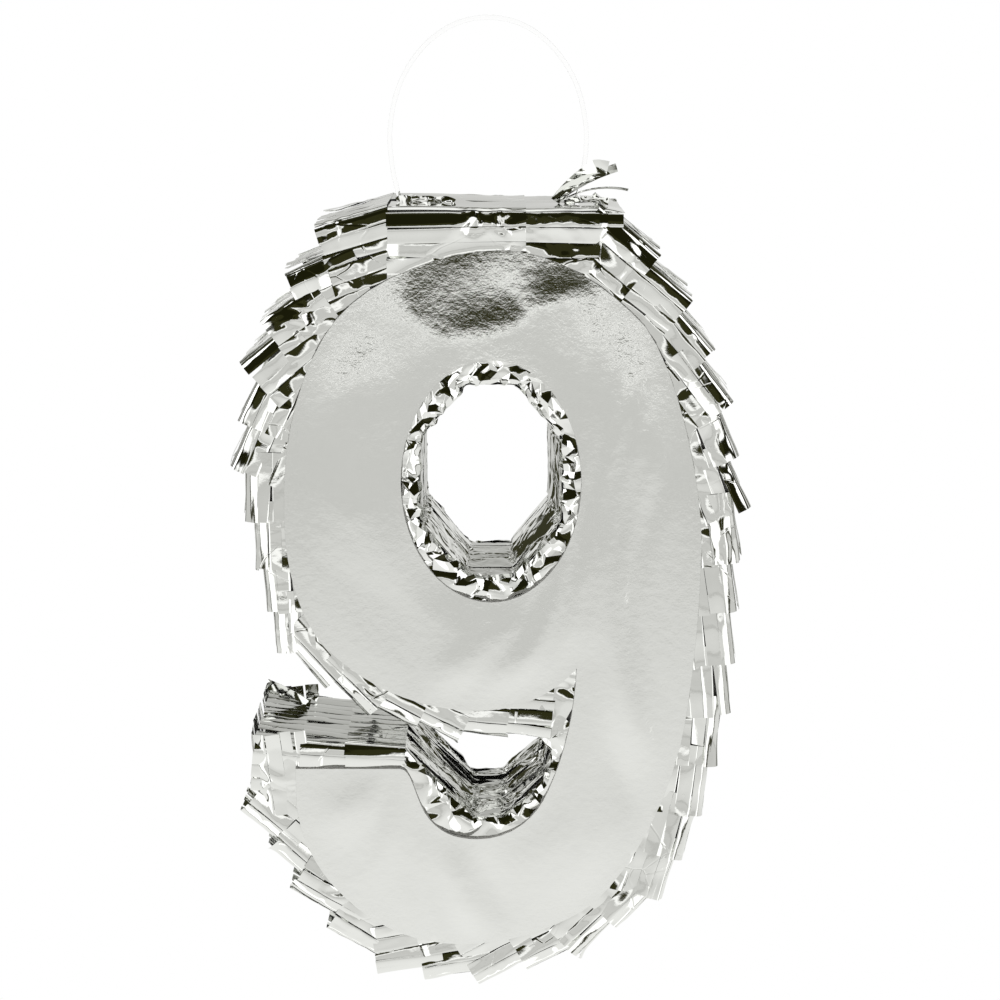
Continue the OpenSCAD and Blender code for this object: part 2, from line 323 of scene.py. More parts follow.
class Sheets:
    """Gathers thin closed sheets, each made from a grid of points, into one mesh."""

    def __init__(self):
        self.points = []
        self.faces = []
        self.count = 0

    def add(self, grid, thickness, loop=False, diagonals=None):
        """grid is rows by columns of points. With loop, its last row is joined to its first.

        diagonals says which way each square is split in two, where the sheet has sharp folds.
        """
        rows, columns = grid.shape[:2]
        if loop:
            along = np.roll(grid, -1, axis=0) - np.roll(grid, 1, axis=0)
        else:
            along = np.gradient(grid, axis=0)
        across = np.gradient(grid, axis=1)
        offset = unit(np.cross(along, across)) * thickness / 2
        self.points += [(grid + offset).reshape(-1, 3), (grid - offset).reshape(-1, 3)]
        back = rows * columns
        index = np.arange(back).reshape(rows, columns)
        if loop:
            index = np.vstack([index, index[:1]])
        corners = (index[:-1, :-1], index[:-1, 1:], index[1:, 1:], index[1:, :-1])
        ring = np.stack(corners, axis=-1).reshape(-1, 4)
        if diagonals is not None:
            first, second = np.array([[0, 1, 2], [0, 2, 3]]), np.array([[0, 1, 3], [1, 2, 3]])
            pick = np.where(diagonals.reshape(-1, 1, 1), second, first)
            ring = np.take_along_axis(ring[:, None, :], pick, axis=2).reshape(-1, 3)
        quads = [ring[:, ::-1], ring + back]
        sides = [index[:, -1], index[::-1, 0]]
        if not loop:
            sides += [index[0, :], index[-1, ::-1]]
        for side in sides:
            p, q = side[:-1], side[1:]
            quads.append(np.stack([p, q, q + back, p + back], axis=-1))
        self.faces += [(face + self.count).tolist() for face in quads]
        self.count += 2 * back

    def make(self, name, material, body, replaces=(), crease=45):
        faces = [face for group in self.faces for face in group]
        points = np.vstack(self.points)
        make_object(name, points, faces, material, body, replaces, crease)

    def make_film(self, name, replaces=(), crease=45):
        self.make(name, FILM_MATERIAL, "pinata", replaces, crease)


# ---- Outlines, read from the CAD nodes ----


def outline_loops(node):
    """The closed outlines of a flat node's front face, largest first, as (x, z) points."""
    bm = bmesh.new()
    bm.from_mesh(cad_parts[node].data)
    bmesh.ops.remove_doubles(bm, verts=bm.verts, dist=1e-6)
    front = min(v.co.y for v in bm.verts)
    flat = {f for f in bm.faces if all(abs(v.co.y - front) < 1e-5 for v in f.verts)}
    follows = {}
    for edge in bm.edges:
        if len([f for f in edge.link_faces if f in flat]) == 1:
            a, b = edge.verts
            follows.setdefault(a, []).append(b)
            follows.setdefault(b, []).append(a)
    loops = []
    while follows:
        vert = next(iter(follows))
        loop = []
        while vert in follows:
            loop.append((vert.co.x, vert.co.z))
            near = follows.pop(vert)
            vert = next((v for v in near if v in follows), None)
        loops.append(np.array(loop))
    bm.free()
    return sorted(loops, key=lambda p: -np.ptp(p[:, 0]) * np.ptp(p[:, 1]))


def turned(loop, clockwise, first):
    """The loop in that direction, starting from the point that first picks."""
    following = np.roll(loop, -1, axis=0)
    area = np.sum(loop[:, 0] * following[:, 1] - following[:, 0] * loop[:, 1])
    if (area < 0) != clockwise:
        loop = loop[::-1]
    return np.roll(loop, -int(np.argmax(first(loop))), axis=0)


def inside(points, loop):
    """Which of the (x, z) points lie inside the closed loop."""
    x, z = points[:, 0], points[:, 1]
    odd = np.zeros(len(points), bool)
    for (x1, z1), (x2, z2) in zip(loop, np.roll(loop, -1, axis=0)):
        crosses = (z1 > z) != (z2 > z)
        where = x1 + (z - z1) * (x2 - x1) / (z2 - z1 if z2 != z1 else 1e-12)
        odd ^= crosses & (x < where)
    return odd


def distance_to(points, loop):
    """How far each (x, z) point is from the closed loop."""
    best = np.full(len(points), 1e9)
    for a, b in zip(loop, np.roll(loop, -1, axis=0)):
        d = b - a
        t = np.clip(((points - a) @ d) / max(d @ d, 1e-12), 0, 1)
        best = np.minimum(best, np.linalg.norm(points - a - t[:, None] * d, axis=1))
    return best


def high_right(loop):
    return loop[:, 1] * 1e3 + loop[:, 0]


panel_loop, hole_loop = outline_loops("front_panel")[:2]
OUTLINE = turned(panel_loop, True, high_right)
HOLE = turned(hole_loop, False, high_right)
CORNERS = len(OUTLINE)
NOTCH = OUTLINE[14:20]                      # from the tail, under the bowl, to the cusp
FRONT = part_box("front_panel")[0].y          # the front panel's outer face
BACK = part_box("back_panel")[1].y
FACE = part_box("front_foil")[0].y            # the front of the foil-faced card


# ---- Film ----

HALF = (BACK - FRONT) / 2
FILM = 0.12 * MM          # thickness, as modelled
STRIP = 9.6 * MM          # width of a cut strip
CUT = 0.24 * MM           # the gap between two strips
UNDER_CARD = 0.15 * MM    # the gap between film and the foil-faced card over it
SLIT = 8 * MM             # the uncut header that is glued down
TURNED = 38 * MM          # how far film is turned over each panel
FIRST_TURNED = 48 * MM    # the same, for the first rows below the top
ROLL = 4 * MM             # radius where it goes over the panel's edge
QUARTER = ROLL * math.pi / 2
OPENING_DEPTH = 38 * MM   # at the back, film over the top stops here, above the filling flap
ACROSS = np.array([-1, -0.87, -0.6, -0.3, 0, 0.3, 0.6, 0.87, 1])    # a strip's points, edge to edge


class Waves:
    """Random waves over a plane: smooth swells, or the straight folds of crumpled foil."""

    def __init__(self, rng, size, count, folds=False):
        angle = rng.uniform(0, math.tau, count)
        length = size * rng.uniform(0.7, 1.8, count)
        self.across = np.cos(angle) / length
        self.along = np.sin(angle) / length
        self.phase = rng.uniform(0, 1, count)
        self.weight = length / size / count
        self.folds = folds
        self.warp = Waves(rng, size * 2.5, 3) if folds else None
        self.size = size

    def __call__(self, a, b):
        a, b = np.broadcast_arrays(a, b)
        if self.warp:
            shift = self.size * self.warp(a, b)
            a, b = a + shift, b - shift
        phase = a[..., None] * self.across + b[..., None] * self.along + self.phase
        if self.folds:
            wave = np.abs((phase % 1) * 4 - 2) - 1
        else:
            wave = np.sin(math.tau * phase)
        return wave @ self.weight


def crumpled(rng, rows, columns, fine, loop):
    """Foil crushed into flat facets, from a grid of corners, each moved at random.

    Each cell is divided into fine steps. Gives each point's place in cells along and across,
    its height from -1 to 1, and the way that each fine square is split.
    """
    shape = (rows if loop else rows + 1, columns + 1)
    corner = np.zeros(shape + (3,))
    corner[..., 0] = np.arange(shape[0])[:, None] + rng.uniform(-0.36, 0.36, shape)
    corner[..., 1] = np.arange(shape[1])[None, :] + rng.uniform(-0.36, 0.36, shape)
    corner[:, 0, 1], corner[:, -1, 1] = 0, columns
    corner[..., 2] = rng.uniform(-1, 1, shape)
    if loop:
        corner = np.concatenate([corner, corner[:1] + (rows, 0, 0)])
    else:
        corner[0, :, 0], corner[-1, :, 0] = 0, rows
    r, c = np.arange(rows * fine + 1), np.arange(columns * fine + 1)
    i, j = np.minimum(r // fine, rows - 1), np.minimum(c // fine, columns - 1)
    a, b = (r / fine - i)[:, None, None], (c / fine - j)[None, :, None]
    p00, p10 = corner[i][:, j], corner[i + 1][:, j]
    p01, p11 = corner[i][:, j + 1], corner[i + 1][:, j + 1]
    split = rng.random((rows, columns)) < 0.5
    low = np.where(
        a >= b, p00 + a * (p10 - p00) + b * (p11 - p10),
        p00 + b * (p01 - p00) + a * (p11 - p01),
    )
    high = np.where(
        a + b <= 1, p00 + a * (p10 - p00) + b * (p01 - p00),
        p11 + (1 - a) * (p01 - p11) + (1 - b) * (p10 - p11),
    )
    grid = np.where(split[i][:, j][..., None], high, low)
    if loop:
        grid = grid[:-1]
    diagonals = split[r[:-1] // fine][:, c[:-1] // fine]
    return grid[..., 0], grid[..., 1], grid[..., 2], diagonals


def section(u, look):
    """Film over a wall and both panels, at distances u from the middle of the wall.

    Gives how far it is out from the wall, its y, the same two parts of its normal, and how far
    in from the roll over the panel's edge it is.
    """
    flat = HALF + look["stand"] - ROLL
    side = np.sign(u)
    reach = np.abs(u)
    turn = np.clip((reach - flat) / ROLL, 0, math.pi / 2)
    inward = np.maximum(reach - flat - QUARTER, 0)
    out = ROLL * (np.cos(turn) - 1) - inward
    y = side * (np.minimum(reach, flat) + ROLL * np.sin(turn))
    return out, y, np.cos(turn), side * np.sin(turn), inward


def tucked(p, side):
    """Film that runs on to a panel, kept under the foil-faced card that is glued over it."""
    flat = p[..., ::2].reshape(-1, 2)
    (rim, eye), level = (FACE_LOOPS, face_swell) if side < 0 else (BACK_LOOPS, back_swell)
    covered = inside(flat, rim) & ~inside(flat, eye)
    beyond = np.where(covered, 0, np.minimum(distance_to(flat, rim), distance_to(flat, eye)))
    room = level(flat[:, 0], flat[:, 1]) - FACE_CARD - UNDER_CARD
    room = (room + 4 * MM * smooth(beyond, 0, 24 * MM)).reshape(p.shape[:-1])
    y = p[..., 1]
    p[..., 1] = np.maximum(y, FACE - room) if side < 0 else np.minimum(y, FACE_BACK + room)
    return p


def strip_grid(rng, place, u, s, look):
    """A strip of film at section distances u and distances s from its glued edge.

    place is (origin, along, out). look holds how the row it belongs to lies.
    """
    origin, along, out = place
    length = s[-1]
    t = np.clip((s - SLIT) / (length - SLIT), 0, 1)
    half_width = np.ptp(u) / 2
    middle = (u[0] + u[-1]) / 2
    v = (u - middle) / half_width
    on_panel = abs(middle) > HALF + look["stand"] - ROLL + QUARTER / 2
    wild = look["wild"]

    lean = look["lean"][int(on_panel)] + rng.normal(0, 0.8 if on_panel else 1.5) * wild
    sway = look["sway"] * rng.uniform(0.5, 1.3) * (1 if on_panel else 0.6)
    phase = look["phase"] + rng.normal(0, 0.05)
    angle = lean * smooth(t, 0, 0.25) + look["droop"](t)
    angle = angle + sway * np.sin(math.tau * (look["rate"] * t + phase)) * smooth(t, 0, 0.2)
    # Some strips have a bent tip, and some have short kinks.
    if rng.random() < 0.09 * wild:
        angle = angle + rng.choice([1, -0.6]) * rng.uniform(10, 32) * smooth(t, 0.7, 1.1)
    for _ in range(rng.poisson(0.35 * wild)):
        start, size = rng.uniform(0.15, 0.8), rng.uniform(0.06, 0.14)
        end = start + size
        tip = rng.choice([-1, 1]) * rng.uniform(4, 9)
        angle = angle + tip * (smooth(t, start, start + 0.05) - smooth(t, end, end + 0.05))
    angle = np.radians(angle)
    step = np.diff(s, prepend=s[0])
    travel = np.cumsum(np.cos(angle) * step)
    rise = np.cumsum(np.sin(angle) * step)
    if on_panel:
        rise = np.maximum(rise, -1.2 * MM * t)

    uu = middle + v * (half_width - CUT / 2)
    uu, ss = np.broadcast_arrays(uu[None, :], s[:, None])
    tt, vv = t[:, None], v[None, :]
    wide = half_width > STRIP
    tilt = 0 if wide else np.clip(rng.normal(0, 3.0) * wild, -9, 9)
    if on_panel:
        nearest = int((abs(middle) - (HALF + look["stand"] - ROLL + QUARTER)) / STRIP)
        tilt = tilt + (look["tilts"] + (0,) * 9)[nearest]
    tilt = math.tan(math.radians(tilt)) * np.sign(middle)
    arch = 0 if wide else rng.normal(0.1, 0.14) * MM * wild
    edge = 0 if wide else rng.uniform(0.03, 0.2) * MM
    height = rise[:, None] + (0.3 + 0.7 * tt) * tilt * vv * half_width + tt * arch * (1 - vv**2)
    height = height - edge * smooth(np.abs(vv), 0.8, 1)
    height = height + look["slack"](uu, ss) * look["slack_depth"] * (0.35 + 0.65 * tt)
    height = height + look["folds"](uu, ss) * look["fold_depth"] * look["fold_where"](uu, ss)

    o, y, n_out, n_y, inward = section(uu, look)
    crown = look["crown"] * 4 * (inward / TURNED) * np.maximum(1 - inward / TURNED, 0)
    dip = look["dip"] * smooth(inward, 4 * MM, 18 * MM)
    height = height + crown - dip
    drift = math.tan(math.radians(rng.normal(0, 1.4) * wild)) * np.maximum(ss - SLIT, 0)
    pull = look["pull"](uu, ss) if "pull" in look else 0.0
    side = drift + pull

    p = origin + travel[:, None, None] * along
    p = p + (o + n_out * height - n_y * side)[..., None] * out
    p = p + (y + n_y * height + n_out * side)[..., None] * Y
    if on_panel:
        return tucked(p, np.sign(middle))
    if half_width > HALF:
        for side in (-1, 1):
            p[:, side * u > 0] = tucked(p[:, side * u > 0], side)
    return p


def row_look(rng, wild=1.0, **changes):
    """How a row of film lies: its stand off the wall, and its leans, waves, folds and bulges."""
    look = {
        "wild": wild,
        "stand": 3.0 * MM,
        "turned": TURNED,
        "lean": (0.3, 2.6),
        "droop": lambda t: 0 * t,
        "sway": rng.uniform(0.8, 4.5),
        "rate": rng.uniform(0.8, 1.6),
        "phase": rng.uniform(0, 1),
        "tilts": (rng.uniform(3, 12), rng.uniform(-3, 4), rng.uniform(-4, 2)),
        "slack": Waves(rng, 36 * MM, 6),
        "slack_depth": 0.22 * MM,
        "folds": Waves(rng, 22 * MM, 3, folds=True),
        "fold_depth": rng.choice([0.05, 0.12, 0.4]) * MM,
        "fold_where": lambda u, s: smooth(s, SLIT, 2 * SLIT),
        "crown": rng.uniform(0.1, 1.3) * MM,
        "dip": 1.7 * MM,
    }
    look.update(changes)
    return look


def lay_row(sheets, rng, start, along, out, length, look, whole_wall=False):
    """A row of fringe: one header, and strips cut to it. start, along and out are (x, z).

    With whole_wall, the film is slit only beyond the wall's edges, and at the back it stops
    above the filling flap.
    """
    stand = look["stand"]
    origin = np.array([start[0], (FRONT + BACK) / 2, start[1]])
    along, out = np.array([along[0], 0, along[1]]), np.array([out[0], 0, out[1]])
    flat = HALF + stand - ROLL
    limit = flat + QUARTER + look["turned"] - ROLL
    back_limit = limit
    if whole_wall:
        # One wide strip over each half of the wall, and narrow ones from its edges on.
        back_limit = flat + QUARTER + OPENING_DEPTH
        count = round((limit - flat - 0.6 * QUARTER) / STRIP)
        cuts = np.linspace(flat + 0.6 * QUARTER, limit, count + 1)
        cuts = np.concatenate([-cuts[::-1], [0], cuts])
    else:
        count = 2 * round(limit / STRIP)
        cuts = np.linspace(-limit, limit, count + 1)
        cuts[1:-1] += rng.uniform(-1, 1, count - 1) * MM
    cut_length = length + rng.uniform(-1, 1) * MM
    for low, high in zip(cuts, cuts[1:]):
        own = cut_length + rng.normal(0, 0.5) * MM
        points = max(16, round(own / (1.4 * MM)))
        s = np.concatenate([[0, SLIT / 2], np.linspace(SLIT, own, points)])
        if high - low < 2 * STRIP:
            u = (low + high) / 2 + (high - low) / 2 * ACROSS
        else:
            u = np.linspace(low, high, round((high - low) / (1.6 * MM)) + 1)
        strip = strip_grid(rng, (origin, along, out), u, s, look)
        if high <= back_limit:
            sheets.add(strip, FILM)
    # The header that joins the strips lies under them.
    u = np.linspace(1 * MM - limit, back_limit - 1 * MM, 60)
    header = dict(
        look, wild=0.0, slack_depth=0.0, fold_depth=0.0, sway=0.0, tilts=(),
        stand=stand - 0.5 * MM,
    )
    s = np.linspace(0, SLIT + 2 * MM, 4)
    sheets.add(strip_grid(rng, (origin - 0.2 * MM * out, along, out), u, s, header), FILM)


def turn(v, degrees, towards):
    """v turned by that angle towards the unit vector beside it."""
    a = math.radians(degrees)
    return v * math.cos(a) + towards * math.sin(a)


def edge_frame(i):
    a, b = OUTLINE[i % CORNERS], OUTLINE[(i + 1) % CORNERS]
    along = unit(b - a)
    return a, b, along, np.array([-along[1], along[0]])


def fringe_edge(name, i, rows, direction, seed, outward, overlap=10 * MM, wild=1.0, **changes):
    """The rows on one facet of the wall, each standing out from it towards its free end."""
    rng = np.random.default_rng(seed)
    a, b, along, out = edge_frame(i)
    if direction < 0:
        a, b, along = b, a, -along
    pitch = np.linalg.norm(b - a) / rows
    sheets = Sheets()
    for r in range(rows):
        angle = outward[r] + rng.uniform(-2, 2)
        start = a + along * (r * pitch - 4 * MM) + out * 1.2 * MM
        look = row_look(rng, wild, **changes)
        lay_row(
            sheets, rng, start, turn(along, angle, out), turn(out, angle, -along),
            pitch + 4 * MM + overlap, look,
        )
    sheets.make_film(name + "_film", [name])


def make_top():
    """Two long rows laid on the top wall, each way from where they meet, open round the cord."""
    rng = np.random.default_rng(70)
    left, right = OUTLINE[-1], OUTLINE[0]
    along, out = unit(right - left), np.array([0.0, 1.0])
    meet = 22 * MM
    fine_folds = Waves(np.random.default_rng(71), 9 * MM, 5, folds=True)
    sheets = Sheets()
    for way, free_end in ((-1, left[0] + 1 * MM), (1, right[0] + 14 * MM)):
        start = np.array([meet - way * 3 * MM, left[1] + (1.6 if way < 0 else 1.0) * MM])
        length = abs(free_end - start[0])
        hole_at = abs(way * HOLE_X - start[0])

        def pull(u, s, hole_at=hole_at):
            """How far the film is drawn aside, to leave the cord clear."""
            near = np.exp(-((s - hole_at) ** 2) / (7 * MM) ** 2) * np.exp(-((u / (12 * MM)) ** 2))
            return np.sign(u.mean()) * 7.2 * MM * near

        look = row_look(
            rng, 0.5, stand=(4.2 if way < 0 else 3.7) * MM,
            lean=(0.4, 0.7), slack=Waves(rng, 60 * MM, 5), slack_depth=0.4 * MM, crown=0.5 * MM,
            turned=52 * MM, sway=0.8,
            folds=lambda u, s, big=Waves(rng, 17 * MM, 6): big(u, s) + 0.45 * fine_folds(u, s),
            fold_depth=(1.5 if way < 0 else 0.7) * MM,
            fold_where=lambda u, s: (
                smooth(np.abs(u), 41 * MM, 50 * MM) * smooth(s, 58 * MM, 30 * MM)
            ),
            tilts=(9, 0, -1) if way < 0 else (9, 0, 11, 0), pull=pull,
            droop=lambda t, way=way: -15 * smooth(t, 0.55, 1.0) if way > 0 else 0 * t,
        )
        lay_row(sheets, rng, start, along * way, out, length, look, whole_wall=True)
    sheets.make_film("fringe_top_film", ["fringe_top"])


# ---- Linings of the hole and the counter ----


def softened(points, radius, step, closed):
    """The outline in even steps with its corners rounded, and its normals towards open air."""
    if closed:
        points = np.vstack([points, points[:1]])
    lengths = np.concatenate([[0], np.cumsum(np.linalg.norm(np.diff(points, axis=0), axis=1))])
    count = int(lengths[-1] / step)
    s = np.linspace(0, lengths[-1], count, endpoint=not closed)
    line = np.stack([np.interp(s, lengths, points[:, k]) for k in range(2)], axis=1)
    reach = max(1, round(radius / step))
    weight = np.hanning(2 * reach + 3)[1:-1]
    weight /= weight.sum()
    pad = len(weight) // 2
    if closed:
        before, after = line[-pad:], line[:pad]
    else:
        before = line[0] - (line[1] - line[0]) * np.arange(pad, 0, -1)[:, None]
        after = line[-1] + (line[-1] - line[-2]) * np.arange(1, pad + 1)[:, None]
    padded = np.vstack([before, line, after])
    line = np.stack([np.convolve(padded[:, k], weight, "valid") for k in range(2)], axis=1)
    if closed:
        tangent = unit(np.roll(line, -1, axis=0) - np.roll(line, 1, axis=0))
    else:
        tangent = unit(np.gradient(line, axis=0))
    return line, np.stack([-tangent[:, 1], tangent[:, 0]], axis=1), s


def line_recess(
    name, points, closed, turned, seed, creases, facet, shards, run, rock, crush, swelling
):
    """Foil strips laid along the wall of a recess, crumpled where they turn onto the panels.

    creases is how many thin pleats each strip has. facet and shards are the size and depth of
    the crumples on the panels, and run and rock the length and depth of the facets on the wall.
    crush is how much the whole wall is crumpled, and swelling gives how far it stands away from
    the card behind it, from its normal's x and z.
    """
    rng = np.random.default_rng(seed)
    step = 1.3 * MM
    line, out, s = softened(points, 5 * MM, step, closed)
    length = s[-1] + (s[1] if closed else 0)
    radius = 2 * MM
    flat = HALF + 1.2 * MM - radius
    limit = flat + radius * math.pi / 2 + turned
    middle = (FRONT + BACK) / 2
    sheets = Sheets()

    def place(s_at, u, height):
        reach = np.abs(u)
        turn_angle = np.clip((reach - flat) / radius, 0, math.pi / 2)
        inward = np.maximum(reach - flat - radius * math.pi / 2, 0)
        room = 3.4 * MM - 1.2 * MM * smooth(inward, 4 * MM, 8.5 * MM)
        height = np.clip(height, 0.2 * MM, np.maximum(room, 0.3 * MM))
        o = radius * (np.cos(turn_angle) - 1) - inward + np.cos(turn_angle) * height
        belly = smooth(u, -flat, 0.3 * flat) * smooth(u, flat, 0.7 * flat)
        side = np.sign(u) * np.sin(turn_angle)
        y = np.sign(u) * (np.minimum(reach, flat) + radius * np.sin(turn_angle)) + side * height
        if closed:
            s_at = s_at % length
        knots = np.append(s, length) if closed else s
        rows = [np.vstack([values, values[:1]]) if closed else values for values in (line, out)]
        (x, z), (ox, oz) = [[np.interp(s_at, knots, v[:, k]) for k in (0, 1)] for v in rows]
        o = o + belly * swelling(ox, oz)
        return np.stack([x + o * ox, middle + y, z + o * oz], axis=-1)

    ends = np.vstack([points, points[:1]]) if closed else points
    corner = np.cumsum(np.linalg.norm(np.diff(ends, axis=0), axis=1))
    bunched = sum(np.exp(-(((s - at) / (6 * MM)) ** 2)) for at in corner)
    dents = Waves(rng, 9 * MM, 5, folds=True)

    # On the wall, strips side by side, in long facets with thin pleats.
    cuts = np.linspace(-flat - 1 * MM, flat + 1 * MM, 10)
    cuts[1:-1] += rng.uniform(-1.5, 1.5, 8) * MM
    pleats = max(1, round(length / run))
    fine = round(length / pleats / step)
    for low, high in zip(cuts, cuts[1:]):
        a, b, h, split = crumpled(rng, pleats, 1, fine, closed)
        ss, uu = a / pleats * length, low + b * (high - low)
        near_corner = np.interp(ss % length if closed else ss, s, bunched)
        height = 1.4 * MM + h * rock + dents(ss, uu) * 1.5 * MM * np.maximum(near_corner, crush)
        for _ in range(creases):
            at, reach = rng.uniform(0, length), rng.uniform(10, 34) * MM
            across = rng.uniform(low, high) + rng.uniform(-0.12, 0.12) * (ss - at)
            ridge = np.maximum(1 - np.abs(uu - across) / (1.3 * MM), 0)
            fade = np.maximum(1 - np.abs(ss - at) / reach, 0)
            height = height + rng.choice([-0.5, 1]) * rng.uniform(0.2, 0.7) * MM * ridge * fade
        sheets.add(place(ss, uu, height), FILM, loop=closed, diagonals=split)

    # On each panel, a ring crushed into facets.
    fine = 3
    rows = round(length / facet)
    columns = max(3, round((limit - flat + 2 * MM) / facet))
    for side in (-1, 1):
        a, b, h, split = crumpled(rng, rows, columns, fine, closed)
        u = side * (flat - 2 * MM + b / columns * (limit - flat + 2 * MM))
        grid = tucked(place(a / rows * length, u, 1.6 * MM + h * shards), side)
        sheets.add(grid, FILM, loop=closed, diagonals=split)
    sheets.make_film(name + "_film", [name], crease=22)


# ---- Foil-faced cards ----


def resampled(loop, step):
    pieces = []
    for a, b in zip(loop, np.roll(loop, -1, axis=0)):
        count = max(1, round(np.linalg.norm(b - a) / step))
        pieces.append(a + (b - a) * (np.arange(count) / count)[:, None])
    return np.vstack(pieces)


def card_sheet(loops, y, thickness, swell, step, seed):
    """A cut card with its face at y (thickness goes the other way), moved along y by swell."""
    rng = np.random.default_rng(seed)
    loops = [resampled(loop, step) for loop in loops]
    low, high = loops[0].min(axis=0), loops[0].max(axis=0)
    grid = np.stack(np.meshgrid(
        np.arange(low[0], high[0], step), np.arange(low[1], high[1], step)), -1).reshape(-1, 2)
    grid = grid + rng.uniform(-0.25, 0.25, grid.shape) * step
    keep = inside(grid, loops[0]) & (distance_to(grid, loops[0]) > 0.6 * step)
    for loop in loops[1:]:
        keep &= ~inside(grid, loop) & (distance_to(grid, loop) > 0.6 * step)
    points = np.vstack(loops + [grid[keep]])
    rims, start = [], 0
    for loop in loops:
        index = start + np.arange(len(loop))
        rims += list(zip(index, np.roll(index, -1)))
        start += len(loop)
    result = geometry.delaunay_2d_cdt(
        [Vector(p) for p in points], [tuple(map(int, e)) for e in rims], [], 0, 1e-7)
    points = np.array(result[0])
    faces = np.array([f for f in result[2] if len(f) == 3])
    centre = points[faces].mean(axis=1)
    keep = inside(centre, loops[0])
    for loop in loops[1:]:
        keep &= ~inside(centre, loop)
    faces = faces[keep]
    a, b, c = (points[faces[:, k]] for k in range(3))
    area = (b[:, 0] - a[:, 0]) * (c[:, 1] - a[:, 1]) - (b[:, 1] - a[:, 1]) * (c[:, 0] - a[:, 0])
    faces[area < 0] = faces[area < 0][:, ::-1]
    facing = np.sign(y)
    shown = y + facing * swell(points[:, 0], points[:, 1])
    front = np.stack([points[:, 0], shown, points[:, 1]], axis=1)
    back = front - np.array([0, facing * thickness, 0])
    count = len(points)
    if facing > 0:
        faces = faces[:, ::-1]
    edges = dict.fromkeys((p, q) for f in faces for p, q in zip(f, np.roll(f, -1)))
    rim = [(p, q) for p, q in edges if (q, p) not in edges]
    everything = [tuple(f) for f in faces] + [tuple(f[::-1] + count) for f in faces]
    everything += [(q, p, p + count, q + count) for p, q in rim]
    return np.vstack([front, back]), everything


def face_swell(x, z):
    """How far the face stands forward of the panel's film: level, then falling to its top edge."""
    depth = OUTLINE[:, 1].max() - z
    points = np.stack([x, z], axis=-1)
    rim = smooth(distance_to(points, FACE_RIM), 0, 34 * MM)
    eye = smooth(distance_to(points, EYE_RIM), 0, 26 * MM)
    under_top = smooth(x, -80 * MM, -44 * MM) * smooth(x, 100 * MM, 40 * MM)
    middle = np.exp(-((x / np.where(x < 0, 42 * MM, 24 * MM)) ** 2))
    left_end = smooth(x, -46 * MM, -72 * MM)
    starts = (62 + 30 * middle - 20 * left_end + 12 * FACE_LOBES(x, z)) * MM
    fall = np.clip((starts - depth) / (64 * MM), 0, 1.05) ** 1.2
    veins = 0.5 * MM * (1 + 0.9 * smooth(depth, 290 * MM, 400 * MM))
    gentle = rim * (FACE_WAVES(x, z) * 0.9 * MM + FACE_VEINS(x, z) * veins)
    swells = sum(
        height * MM * np.exp(-((x - cx * MM) ** 2 + (z - cz * MM) ** 2) / (wide * MM) ** 2)
        for height, cx, cz, wide in FACE_SWELLS
    )
    return 2.5 * MM + 0.5 * MM * rim * eye + gentle + rim * swells - 2.75 * MM * fall * under_top


def back_swell(x, z):
    """The back is flatter."""
    return 0.3 * MM + FACE_WAVES(-x, z) * 0.25 * MM


def make_faces():
    """The foil-faced card on the front and the back, and the piece of it on the flap."""
    for node, body, y, swell, step, seed in (
        ("front_foil", "pinata", FACE, face_swell, 4.5, 11),
        ("back_foil", "pinata", FACE_BACK, back_swell, 4.5, 12),
        ("flap_foil", "flap", FACE_BACK, back_swell, 4, 13),
    ):
        points, faces = card_sheet(outline_loops(node), y, FACE_CARD, swell, step * MM, seed)
        make_object(node + "_card", points, faces, FACE_MATERIAL, body, [node])


def make_card_edge():
    """The cut edge of the thick card behind the front's foil, round its outline and its hole."""
    deep, thick = 2.6 * MM, 0.2 * MM
    sheets = Sheets()
    for loop in FACE_LOOPS:
        x, z = resampled(loop, 3 * MM).T
        depth = np.linspace(FACE_CARD + 0.05 * MM, FACE_CARD + deep, 4)
        y = FACE - face_swell(x, z)[:, None] + depth
        ribbon = np.stack(np.broadcast_arrays(x[:, None], y, z[:, None]), axis=-1)
        sheets.add(ribbon, thick, loop=True)
    sheets.make("front_foil_edge", CUT_CARD, "pinata")


def make_cusps():
    """Crumpled film on both panels, in the notch where the face's bowl meets its stem."""
    end, inner = NOTCH[-2:]
    # The patch's outline in millimetres from the inner corner, and by way of the notch's end.
    rim = [(-20, 1), (0, 0), (0, 0), (16, 3), (30, 30), (42, 74), (6, 62), (-30, 40)]
    rim = np.array([(end if k == 2 else inner) + np.array(p) * MM for k, p in enumerate(rim)])
    for name, panel, side, seed in (
        ("film_at_cusp", FRONT, -1, 61), ("film_at_back_cusp", BACK, 1, 62),
    ):
        crumple = Waves(np.random.default_rng(seed), 24 * MM, 4, folds=True)
        points, faces = card_sheet(
            [rim], panel + side * 0.4 * MM, FILM,
            lambda x, z: 1.6 * MM + np.clip(crumple(x, z) * 2.6 * MM, -1.4 * MM, 1.6 * MM),
            1.6 * MM, seed,
        )
        points = tucked(points[None], side)[0] if side > 0 else points
        make_object(name, points, faces, FILM_MATERIAL, "pinata", crease=25)


